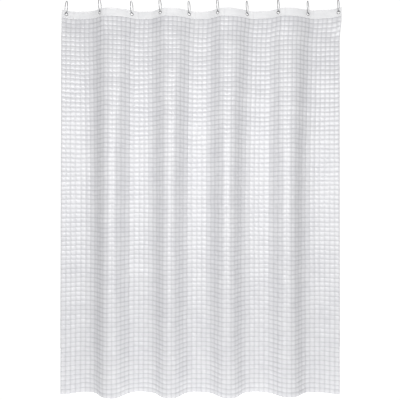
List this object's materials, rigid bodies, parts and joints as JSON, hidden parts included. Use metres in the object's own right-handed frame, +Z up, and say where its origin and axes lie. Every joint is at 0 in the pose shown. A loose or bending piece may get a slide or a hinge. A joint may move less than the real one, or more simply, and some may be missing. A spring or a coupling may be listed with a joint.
{
  "type": "shower curtain",
  "caption": "Embossed translucent shower curtain with a smooth welded heading, metal eyelets and round wire rings; it draws along its rod in accordion folds.",
  "frame": {"origin": "on the rod's axis, at the middle of the hung curtain", "axes": "+X along the rod, +Z up, the room side faces -Y"},
  "size_m": [1.3052, 0.0759, 1.8432],
  "materials": {
    "embossed_film": "embossed, semi-gloss, translucent",
    "smooth_heading": "smooth, glossy, translucent",
    "ring_wire": "polished",
    "eyelet_metal": "plated, satin"
  },
  "bodies": {
    "ring_01": {"ring_01": "ring_wire"},
    "strip_01": {"panel_01": "embossed_film", "header_01": "smooth_heading", "eyelet_01": "eyelet_metal", "washer_01": "eyelet_metal"},
    "strip_02": {"panel_02": "embossed_film", "header_02": "smooth_heading", "eyelet_02": "eyelet_metal", "washer_02": "eyelet_metal"},
    "ring_02": {"ring_02": "ring_wire"},
    "strip_03": {"panel_03": "embossed_film", "header_03": "smooth_heading", "eyelet_03": "eyelet_metal", "washer_03": "eyelet_metal"},
    "ring_03": {"ring_03": "ring_wire"},
    "strip_04": {"panel_04": "embossed_film", "header_04": "smooth_heading", "eyelet_04": "eyelet_metal", "washer_04": "eyelet_metal"},
    "ring_04": {"ring_04": "ring_wire"},
    "strip_05": {"panel_05": "embossed_film", "header_05": "smooth_heading", "eyelet_05": "eyelet_metal", "washer_05": "eyelet_metal"},
    "ring_05": {"ring_05": "ring_wire"},
    "strip_06": {"panel_06": "embossed_film", "header_06": "smooth_heading", "eyelet_06": "eyelet_metal", "washer_06": "eyelet_metal"},
    "ring_06": {"ring_06": "ring_wire"},
    "strip_07": {"panel_07": "embossed_film", "header_07": "smooth_heading", "eyelet_07": "eyelet_metal", "washer_07": "eyelet_metal"},
    "ring_07": {"ring_07": "ring_wire"},
    "strip_08": {"panel_08": "embossed_film", "header_08": "smooth_heading", "eyelet_08": "eyelet_metal", "washer_08": "eyelet_metal"},
    "ring_08": {"ring_08": "ring_wire"},
    "strip_09": {"panel_09": "embossed_film", "header_09": "smooth_heading", "eyelet_09": "eyelet_metal", "washer_09": "eyelet_metal"},
    "ring_09": {"ring_09": "ring_wire"},
    "strip_10": {"panel_10": "embossed_film", "header_10": "smooth_heading", "eyelet_10": "eyelet_metal", "washer_10": "eyelet_metal"},
    "ring_10": {"ring_10": "ring_wire"}
  },
  "joints": [
    {"name": "draw", "type": "hinge", "parent": "ring_01", "child": "strip_01", "pos_m": [-0.635, 0.009, 0], "axis": [0, 0, 1], "range_deg": [-12, 52]},
    {"name": "fold_01", "type": "hinge", "parent": "strip_01", "child": "strip_02", "pos_m": [-0.554, 0.029, 0], "axis": [0, 0, 1], "range_deg": [-104, 24]},
    {"name": "fold_02", "type": "hinge", "parent": "strip_02", "child": "strip_03", "pos_m": [-0.4005, -0.027, 0], "axis": [0, 0, 1], "range_deg": [-24, 104]},
    {"name": "fold_03", "type": "hinge", "parent": "strip_03", "child": "strip_04", "pos_m": [-0.2605, 0.029, 0], "axis": [0, 0, 1], "range_deg": [-104, 24]},
    {"name": "fold_04", "type": "hinge", "parent": "strip_04", "child": "strip_05", "pos_m": [-0.126, -0.027, 0], "axis": [0, 0, 1], "range_deg": [-24, 104]},
    {"name": "fold_05", "type": "hinge", "parent": "strip_05", "child": "strip_06", "pos_m": [0.0075, 0.029, 0], "axis": [0, 0, 1], "range_deg": [-104, 24]},
    {"name": "fold_06", "type": "hinge", "parent": "strip_06", "child": "strip_07", "pos_m": [0.1435, -0.027, 0], "axis": [0, 0, 1], "range_deg": [-24, 104]},
    {"name": "fold_07", "type": "hinge", "parent": "strip_07", "child": "strip_08", "pos_m": [0.2845, 0.029, 0], "axis": [0, 0, 1], "range_deg": [-104, 24]},
    {"name": "fold_08", "type": "hinge", "parent": "strip_08", "child": "strip_09", "pos_m": [0.427, -0.027, 0], "axis": [0, 0, 1], "range_deg": [-24, 104]},
    {"name": "fold_09", "type": "hinge", "parent": "strip_09", "child": "strip_10", "pos_m": [0.5665, 0.029, 0], "axis": [0, 0, 1], "range_deg": [-104, 24]},
    {"name": "ring_turn_02", "type": "hinge", "parent": "strip_02", "child": "ring_02", "pos_m": [-0.473, -0.009, 0], "axis": [0, 0, 1], "range_deg": [-3.24, 14.04]},
    {"name": "ring_turn_03", "type": "hinge", "parent": "strip_03", "child": "ring_03", "pos_m": [-0.328, 0.009, 0], "axis": [0, 0, 1], "range_deg": [-18.72, 4.32]},
    {"name": "ring_turn_04", "type": "hinge", "parent": "strip_04", "child": "ring_04", "pos_m": [-0.193, -0.009, 0], "axis": [0, 0, 1], "range_deg": [-4.68, 20.28]},
    {"name": "ring_turn_05", "type": "hinge", "parent": "strip_05", "child": "ring_05", "pos_m": [-0.059, 0.009, 0], "axis": [0, 0, 1], "range_deg": [-11.96, 2.76]},
    {"name": "ring_turn_06", "type": "hinge", "parent": "strip_06", "child": "ring_06", "pos_m": [0.074, -0.009, 0], "axis": [0, 0, 1], "range_deg": [-6.24, 27.04]},
    {"name": "ring_turn_07", "type": "hinge", "parent": "strip_07", "child": "ring_07", "pos_m": [0.213, 0.009, 0], "axis": [0, 0, 1], "range_deg": [-5.72, 1.32]},
    {"name": "ring_turn_08", "type": "hinge", "parent": "strip_08", "child": "ring_08", "pos_m": [0.356, -0.009, 0], "axis": [0, 0, 1], "range_deg": [-7.8, 33.8]},
    {"name": "ring_turn_09", "type": "hinge", "parent": "strip_09", "child": "ring_09", "pos_m": [0.498, 0.009, 0], "axis": [0, 0, 1], "range_deg": [-0.24, 1.04]},
    {"name": "ring_turn_10", "type": "hinge", "parent": "strip_10", "child": "ring_10", "pos_m": [0.635, -0.009, 0], "axis": [0, 0, 1], "range_deg": [-9.24, 40.04]}
  ],
  "couplings": [
    {"joint": "fold_01", "follows": "draw", "ratio": -2},
    {"joint": "fold_02", "follows": "draw", "ratio": 2},
    {"joint": "fold_03", "follows": "draw", "ratio": -2},
    {"joint": "fold_04", "follows": "draw", "ratio": 2},
    {"joint": "fold_05", "follows": "draw", "ratio": -2},
    {"joint": "fold_06", "follows": "draw", "ratio": 2},
    {"joint": "fold_07", "follows": "draw", "ratio": -2},
    {"joint": "fold_08", "follows": "draw", "ratio": 2},
    {"joint": "fold_09", "follows": "draw", "ratio": -2},
    {"joint": "ring_turn_02", "follows": "draw", "ratio": 0.27},
    {"joint": "ring_turn_03", "follows": "draw", "ratio": -0.36},
    {"joint": "ring_turn_04", "follows": "draw", "ratio": 0.39},
    {"joint": "ring_turn_05", "follows": "draw", "ratio": -0.23},
    {"joint": "ring_turn_06", "follows": "draw", "ratio": 0.52},
    {"joint": "ring_turn_07", "follows": "draw", "ratio": -0.11},
    {"joint": "ring_turn_08", "follows": "draw", "ratio": 0.65},
    {"joint": "ring_turn_09", "follows": "draw", "ratio": 0.02},
    {"joint": "ring_turn_10", "follows": "draw", "ratio": 0.77}
  ]
}
